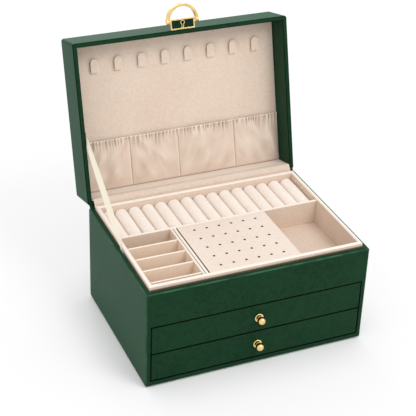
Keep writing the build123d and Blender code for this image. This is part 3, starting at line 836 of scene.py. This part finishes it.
def stay_ribbon():
    """The ribbon that holds the lid, with a slow turn along its free run."""
    width = 10.0
    wall_y, foot_z, rim_z = -3.0, 102.0, 120.0
    lid_spot = (0, -0.083, 0.0092)
    bend_length = 16
    most_twist = math.radians(20)
    low, high = node_box("stay_ribbon")
    middle_x = (low.x + high.x) / 2
    foot = Vector((middle_x, wall_y, foot_z))
    rim = Vector((middle_x, wall_y, rim_z))
    lid_point = LID @ Vector(lid_spot) / MM
    tip = Vector((middle_x, lid_point.y, lid_point.z))
    tail = (rim - foot).length
    run = (tip - rim).length
    bm = cloth_grid(90, 6)
    edge_mark = bm.verts.layers.float["edge"]
    across_tail = Vector((0, 1, 0))
    way = (tip - rim).normalized()
    across_run = Vector((1, 0, 0)).cross(way)
    for vert in bm.verts:
        reach = (vert.co.x + 0.5) * (tail + run)
        side = -vert.co.y * width
        if reach < tail:
            spot = foot + (rim - foot) * reach / tail
            turn = 0.0
        else:
            spot = rim + way * (reach - tail)
            turn = (reach - tail) / run
        bend = clamp((reach - tail + bend_length / 2) / bend_length)
        bend = bend * bend * (3 - 2 * bend)
        across = (across_tail * (1 - bend) + across_run * bend).normalized()
        twist = most_twist * min(1, 7 * turn, 2.6 * (1 - turn))
        across = Matrix.Rotation(twist, 3, way) @ across
        vert.co = spot + across * side
        vert[edge_mark] = 1.0 if abs(side) > 0.45 * width else 0.0
    return piece("stay_ribbon_strip", bm, ribbon_cloth, ["stay_ribbon"], shaded_by_area=False)


# Gilt fittings


def turned(bm, profile, centre, axis):
    """Spins a profile of radius and reach about an axis."""
    axis = Vector(axis)
    side = axis.orthogonal().normalized()
    points = [bm.verts.new(Vector(centre) + side * radius + axis * reach) for radius, reach in profile]
    rim = [bm.edges.new(pair) for pair in zip(points, points[1:])]
    bmesh.ops.spin(
        bm, geom=[*points, *rim], cent=centre, axis=axis, angle=2 * math.pi, steps=40, use_merge=True
    )
    bmesh.ops.remove_doubles(bm, verts=bm.verts, dist=0.001)
    bmesh.ops.recalc_face_normals(bm, faces=bm.faces)
    bm.normal_update()


def clasp_plate():
    """The gilt plate, with painted shade down in its keyhole."""
    bm = copied("clasp_plate", LID)
    soften(bm, outside_edges(bm, 3.0), 0.15)
    keyhole_half = 2.0
    floor_from, floor_to = 0.8, 1.2
    low = node_box("clasp_plate", place=LID)[0]
    painted_shade_mark = bm.verts.layers.float["pit"]
    for vert in bm.verts:
        if abs(vert.co.x) < keyhole_half and low.z + floor_from < vert.co.z < low.z + floor_to:
            vert[painted_shade_mark] = 1.0
    riding("clasp_plate_eased", bm, gilt, ["clasp_plate"], LID)


def drawer_knob(node):
    """A turned knob: dished rosette, waisted neck and ball."""
    ball = 4.4
    neck = 2.0
    arc_steps = 14
    dark_radius, dark_from, dark_past = 2.6, 2.0, 0.3
    rosette = [(0, 0), (4.7, 0), (5.0, 0.35), (4.95, 0.75), (4.6, 1.1), (3.9, 1.3), (3.1, 1.42), (2.4, 1.5)]
    waist = [(neck, 1.65), (1.9, 1.85)]
    low, high = node_box(node)
    centre = Vector((0, high.y, (low.z + high.z) / 2))
    reach = high.y - low.y
    ball_at = reach - ball
    start = math.acos(-math.sqrt(1 - (neck / ball) ** 2))
    angles = [start * (1 - i / arc_steps) for i in range(arc_steps)]
    arc = [(ball * math.sin(angle), ball_at + ball * math.cos(angle)) for angle in angles]
    bm = new_mesh()
    turned(bm, [*rosette, *waist, *arc, (0, reach)], centre, (0, -1, 0))
    # Painted reflection: the back of the ball is painted dark, as it mirrors the dark drawer
    painted_shade_mark = bm.verts.layers.float["pit"]
    for vert in bm.verts:
        out = math.hypot(vert.co.x - centre.x, vert.co.z - centre.z)
        if out > dark_radius and dark_from < high.y - vert.co.y < ball_at + dark_past:
            vert[painted_shade_mark] = 1.0
    riding(f"{node}_turned", bm, gilt, [node])


def slotted_screws(node, place):
    """Round-headed screws with a driver slot, over the plain solids."""
    head_height = 0.7
    slot_half, slot_depth = 0.24, 0.4
    high = node_box(node, place=place)[1]
    bm = copied(node, place)
    painted_shade_mark = bm.verts.layers.float["pit"]
    # Painted shade round the foot of each head
    for vert in bm.verts:
        if abs(vert.co.y - high.y + head_height) < 0.05:
            vert[painted_shade_mark] = 0.9
    rims = [edge for edge in outside_edges(bm) if min(v.co.y for v in edge.verts) > high.y - 0.01]
    soften(bm, rims, 0.35)
    flat = [face for face in bm.faces if face.normal.y > FLAT]
    heads = [face for face in flat if face.calc_center_median().y > high.y - 0.01]
    level = heads[0].calc_center_median().z
    for side in (-slot_half, slot_half):
        heads = split(bm, heads, (0, 0, level + side), (0, 0, 1))
    slots = [face for face in heads if abs(face.calc_center_median().z - level) < 0.1]
    sunk = bmesh.ops.extrude_discrete_faces(bm, faces=slots)["faces"]
    floor_verts = list({vert for face in sunk for vert in face.verts})
    bmesh.ops.translate(bm, vec=(0, -slot_depth, 0), verts=floor_verts)
    # Painted shade on the slot floors
    for vert in floor_verts:
        vert[painted_shade_mark] = 1.0
    bm.normal_update()
    riding(f"{node}_slotted", bm, gilt, [node], place)


# The whole object

case_wrap()
lid_wrap()
rounded_board("base_felt", base_cloth, 0.3)
tray_frame()
rounded_board("ring_rail", lining, 1.2, all_round=False)
rounded_board("slot_wall", painted_light_slot_lining, 1.0, all_round=False)
for number in range(1, 5):
    rounded_board(f"slot_divider_{number}", painted_light_slot_lining, 0.8, all_round=False)
for node in ("stud_wall_left", "stud_wall_right"):
    bm = copied(node)
    soften_top(bm, 1.1)
    riding(f"{node}_covered", bm, lining, [node])
ring_rolls()
stud_panel()
rounded_board("lid_panel", lining, 1.2, place=LID)
rounded_board("lid_back_liner", painted_light_lining, 0.4, place=LID)
rounded_copy("necklace_hooks", lining, 0.4, place=LID, ending="covered")
pocket = gathered_pocket()
ribbon = stay_ribbon()
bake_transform(ribbon, "case", "lid", start=(-0.1197, -0.003, 0.12), end=(-0.1197, 0.12, 0.1932))
behind_tray = [(82.7, 110.0), (82.75, 113.6), (83.6, 115.5), (85.6, 115.7), (87.0, 116.9), (88.4, 119.6)]
over_lid = [beside_lid(-7.75, 0.4), beside_lid(-7.8, 3.0), beside_lid(-7.8, 8.0)]
crossing = hinge_strip("hinge_lining", lining, 118.6, behind_tray + over_lid, 0.2)
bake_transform(crossing, "case", "lid", start=(0, 0.0838, 0.1164), end=(0, 0.0925, 0.1223))
on_rim = [(83.3, 115.14), (86.0, 115.14), (88.6, 115.3), (90.2, 115.9)]
up_rim = [(90.95, 117.2), beside_lid(-4.2, 0.06), beside_lid(-6.0, 0.06)]
spine = hinge_strip("hinge_leather", case_leather, 123.6, on_rim + up_rim, 0.0)
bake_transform(spine, "case", "lid", start=(0, 0.0887, 0.1153), end=(0, 0.0912, 0.1186))

for name in ("lower", "upper"):
    front = f"{name}_drawer_front"
    bm = copied(front)
    soften(bm, outside_edges(bm, 20), 0.5, wear_and_highlight=0.5)
    low, high = node_box(front)
    # Painted shade in the gap round each drawer front, and lighter edges from wear and a painted highlight
    around = Vector((1, 0, 1))
    shade_gap(bm, low.y + 0.15, low - around, high + around)
    riding(f"{front}_covered", bm, case_leather, [front])
    for board in ("bottom", "left", "right", "back"):
        rounded_copy(f"{name}_drawer_{board}", lining, 0.6, 20, ending="covered")
    rounded_board(f"{name}_drawer_lining", lining, 0.4)
    drawer_knob(f"{name}_knob")
    keep_solid(f"{name}_knob_screw", gilt)

for node, place in (("hinge_case_leaves", CASE), ("hinge_lid_leaves", LID)):
    rounded_copy(node, gilt, 0.2, 2.0, place)
slotted_screws("hinge_case_screws", CASE)
slotted_screws("hinge_lid_screws", LID)
rounded_copy("clasp_bracket", gilt, 0.2, 2.0, LID)
clasp_plate()
rounded_copy("pull_ring", gilt, 0.1, 2.0, LID)
rounded_copy("clasp_inlay", inlay_leather, 0.1, 3.0, LID)
for node in ("hinge_pins", "clasp_pin"):
    keep_solid(node, gilt)
for node in ("tray_deck", "drawer_shelf"):
    keep_solid(node, grey_board)
keep_solid("tray_floor", lining)


# Floor, light and camera


def studio_floor():
    """A white floor that keeps the shadow, and shows white to the camera where nothing shades it."""
    bm = bmesh.new()
    just_below = Matrix.Translation((0, 0, -0.0003))
    bmesh.ops.create_grid(bm, x_segments=1, y_segments=1, size=4, matrix=just_below)
    mesh = bpy.data.meshes.new("studio_floor")
    bm.to_mesh(mesh)
    bm.free()
    floor = bpy.data.objects.new("studio_floor", mesh)
    bpy.context.scene.collection.objects.link(floor)
    constant = {"Base Color": (0.92, 0.92, 0.92, 1), "Roughness": 0.9, "Specular IOR Level": 0.0}
    paint = Paint("studio_floor", None, constant)
    seen = paint.node("ShaderNodeLightPath", output="Is Camera Ray")
    mirrored = paint.node("ShaderNodeLightPath", output="Is Glossy Ray")
    glow = paint.node("ShaderNodeEmission", {}, {"Color": (1, 1, 1, 1), "Strength": 1.0})
    open_sky = paint.node("ShaderNodeAmbientOcclusion", {"samples": 8}, {"Distance": 0.055}, "AO")
    share = 0.6 * open_sky**2.4 * (seen + mirrored)
    lit = Wire(paint, paint.shader.outputs[0])
    mixed = paint.node("ShaderNodeMixShader", {}, {0: share, 1: lit, 2: glow})
    paint.tree.links.new(mixed.socket, paint.tree.nodes["Material Output"].inputs["Surface"])
    mesh.materials.append(paint.material)


def white_room():
    """Soft even light all round, seen as white by the camera and in reflections."""
    world = bpy.data.worlds.new("white_room")
    bpy.context.scene.world = world
    world.use_nodes = True
    tree = world.node_tree
    background = tree.nodes["Background"]
    background.inputs["Color"].default_value = (1, 1, 1, 1)
    rays = tree.nodes.new("ShaderNodeLightPath")
    seen = rays.outputs["Is Camera Ray"]
    for kind in ("Is Glossy Ray", "Is Transmission Ray"):
        total = tree.nodes.new("ShaderNodeMath")
        total.operation = "ADD"
        tree.links.new(seen, total.inputs[0])
        tree.links.new(rays.outputs[kind], total.inputs[1])
        seen = total.outputs[0]
    strength = tree.nodes.new("ShaderNodeMapRange")
    strength.inputs["To Min"].default_value = 0.86
    strength.inputs["To Max"].default_value = 1.0
    tree.links.new(seen, strength.inputs["Value"])
    tree.links.new(strength.outputs[0], background.inputs["Strength"])


def soft_lamp(name, spot, aim, size, power):
    data = bpy.data.lights.new(name, "AREA")
    data.shape = "DISK"
    data.size = size
    data.energy = power
    lamp = bpy.data.objects.new(name, data)
    lamp.location = spot
    lamp.rotation_euler = (Vector(aim) - Vector(spot)).to_track_quat("-Z", "Y").to_euler()
    bpy.context.scene.collection.objects.link(lamp)


def photo_camera():
    """The photograph's viewpoint: focal length in pixels, angles in degrees, places in metres."""
    picture_width, sensor_width = 416, 36.0
    focal, azimuth, elevation, roll = 1257.96, -24.231, 30.882, 2.263
    distance = 1.33109
    target = Vector((-0.018886, 0.008603, 0.138853))
    a, e, r = (math.radians(angle) for angle in (azimuth, elevation, roll))
    back = Vector((math.sin(a) * math.cos(e), -math.cos(a) * math.cos(e), math.sin(e)))
    right = Vector((math.cos(a), math.sin(a), 0))
    up = back.cross(right)
    right, up = right * math.cos(r) + up * math.sin(r), up * math.cos(r) - right * math.sin(r)
    data = bpy.data.cameras.new("photo_camera")
    data.sensor_width = sensor_width
    data.lens = focal / picture_width * sensor_width
    camera = bpy.data.objects.new("photo_camera", data)
    turn = Matrix((right, up, back)).transposed().to_4x4()
    camera.matrix_world = Matrix.Translation(target + back * distance) @ turn
    bpy.context.scene.collection.objects.link(camera)
    bpy.context.scene.camera = camera


studio_floor()
white_room()
soft_lamp("key_light", (0.5, -0.95, 1.5), (0, 0, 0.12), 0.8, 9.5)
soft_lamp("side_light", (-1.8, -0.2, 0.7), (0, 0, 0.15), 0.9, 1.0)
soft_lamp("rear_light", (0.0, 1.7, 1.0), (0, 0, 0.15), 1.0, 8.5)
photo_camera()
bpy.context.scene.view_settings.view_transform = "Standard"
